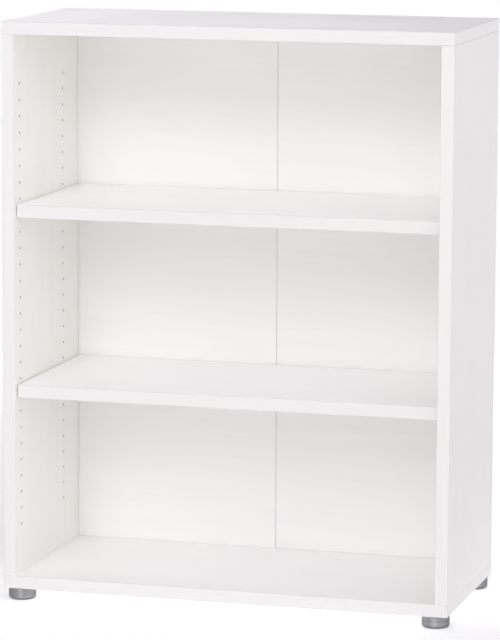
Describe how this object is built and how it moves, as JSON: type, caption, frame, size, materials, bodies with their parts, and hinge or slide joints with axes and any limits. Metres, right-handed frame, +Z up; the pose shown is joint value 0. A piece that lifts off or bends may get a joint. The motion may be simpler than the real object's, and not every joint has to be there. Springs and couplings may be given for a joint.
{
  "type": "open bookcase",
  "caption": "Open bookcase of white laminated board with adjustable shelves on plug-in supports, a grooved-in back and round screw-in levelling feet.",
  "frame": {"origin": "on the floor, under the middle of the bookcase's footprint", "axes": "+X to the right as seen from the open front, +Y to the back, +Z up; the open front faces -Y"},
  "size_m": [0.888, 0.4, 1.132],
  "materials": {
    "board": "white laminated particle board, fine faint grain, satin",
    "edging": "white plastic edging, satin",
    "back_board": "white lacquered fibreboard, satin",
    "tape": "white adhesive tape, matt",
    "support_metal": "zinc plated steel",
    "fitting_metal": "zinc plated steel",
    "stem_metal": "zinc plated steel, threaded",
    "cap": "white moulded plastic",
    "dowel_wood": "plain beech",
    "pad_plastic": "silver-grey moulded plastic, satin"
  },
  "bodies": {
    "carcass": {"back_fold_tape": "tape", "back_panel_left": "back_board", "back_panel_right": "back_board", "bottom_panel": "board", "bottom_panel_edging_front": "edging", "bottom_panel_edging_left": "edging", "bottom_panel_edging_rear": "edging", "bottom_panel_edging_right": "edging", "cam_bolts": "fitting_metal", "cam_cover_caps": "cap", "cam_locks": "fitting_metal", "dowels": "dowel_wood", "foot_inserts": "fitting_metal", "lower_shelf_supports": "support_metal", "side_left_edging_front": "edging", "side_left_edging_rear": "edging", "side_panel_left": "board", "side_panel_right": "board", "side_right_edging_front": "edging", "side_right_edging_rear": "edging", "top_panel": "board", "top_panel_edging_front": "edging", "top_panel_edging_left": "edging", "top_panel_edging_rear": "edging", "top_panel_edging_right": "edging", "upper_shelf_supports": "support_metal"},
    "shelf_upper": {"shelf_upper": "board", "shelf_upper_edging_front": "edging", "shelf_upper_edging_left": "edging", "shelf_upper_edging_rear": "edging", "shelf_upper_edging_right": "edging"},
    "shelf_lower": {"shelf_lower": "board", "shelf_lower_edging_front": "edging", "shelf_lower_edging_left": "edging", "shelf_lower_edging_rear": "edging", "shelf_lower_edging_right": "edging"},
    "foot_front_left_pad": {"foot_pad_front_left": "pad_plastic"},
    "foot_front_right_pad": {"foot_pad_front_right": "pad_plastic"},
    "foot_rear_left_pad": {"foot_pad_rear_left": "pad_plastic"},
    "foot_rear_right_pad": {"foot_pad_rear_right": "pad_plastic"},
    "foot_front_left_stem": {"foot_stem_front_left": "stem_metal"},
    "foot_front_right_stem": {"foot_stem_front_right": "stem_metal"},
    "foot_rear_left_stem": {"foot_stem_rear_left": "stem_metal"},
    "foot_rear_right_stem": {"foot_stem_rear_right": "stem_metal"}
  },
  "joints": [
    {"name": "shelf_upper_slide", "type": "slide", "parent": "carcass", "child": "shelf_upper", "axis": [0, -1, 0], "range_m": [0, 0.345]},
    {"name": "shelf_lower_slide", "type": "slide", "parent": "carcass", "child": "shelf_lower", "axis": [0, -1, 0], "range_m": [0, 0.345]},
    {"name": "foot_front_left_travel", "type": "slide", "parent": "carcass", "child": "foot_front_left_stem", "axis": [0, 0, -1], "range_m": [0, 0.0091]},
    {"name": "foot_front_left_turn", "type": "hinge", "parent": "foot_front_left_stem", "child": "foot_front_left_pad", "pos_m": [-0.4155, -0.1715, 0.024], "axis": [0, 0, -1], "range_deg": [0, 2160]},
    {"name": "foot_front_right_travel", "type": "slide", "parent": "carcass", "child": "foot_front_right_stem", "axis": [0, 0, -1], "range_m": [0, 0.0091]},
    {"name": "foot_front_right_turn", "type": "hinge", "parent": "foot_front_right_stem", "child": "foot_front_right_pad", "pos_m": [0.4155, -0.1715, 0.024], "axis": [0, 0, -1], "range_deg": [0, 2160]},
    {"name": "foot_rear_left_travel", "type": "slide", "parent": "carcass", "child": "foot_rear_left_stem", "axis": [0, 0, -1], "range_m": [0, 0.0091]},
    {"name": "foot_rear_left_turn", "type": "hinge", "parent": "foot_rear_left_stem", "child": "foot_rear_left_pad", "pos_m": [-0.4155, 0.1715, 0.024], "axis": [0, 0, -1], "range_deg": [0, 2160]},
    {"name": "foot_rear_right_travel", "type": "slide", "parent": "carcass", "child": "foot_rear_right_stem", "axis": [0, 0, -1], "range_m": [0, 0.0091]},
    {"name": "foot_rear_right_turn", "type": "hinge", "parent": "foot_rear_right_stem", "child": "foot_rear_right_pad", "pos_m": [0.4155, 0.1715, 0.024], "axis": [0, 0, -1], "range_deg": [0, 2160]}
  ],
  "couplings": [
    {"joint": "foot_front_left_travel", "follows": "foot_front_left_turn", "m_per_rad": 0.00023873},
    {"joint": "foot_front_right_travel", "follows": "foot_front_right_turn", "m_per_rad": 0.00023873},
    {"joint": "foot_rear_left_travel", "follows": "foot_rear_left_turn", "m_per_rad": 0.00023873},
    {"joint": "foot_rear_right_travel", "follows": "foot_rear_right_turn", "m_per_rad": 0.00023873}
  ]
}
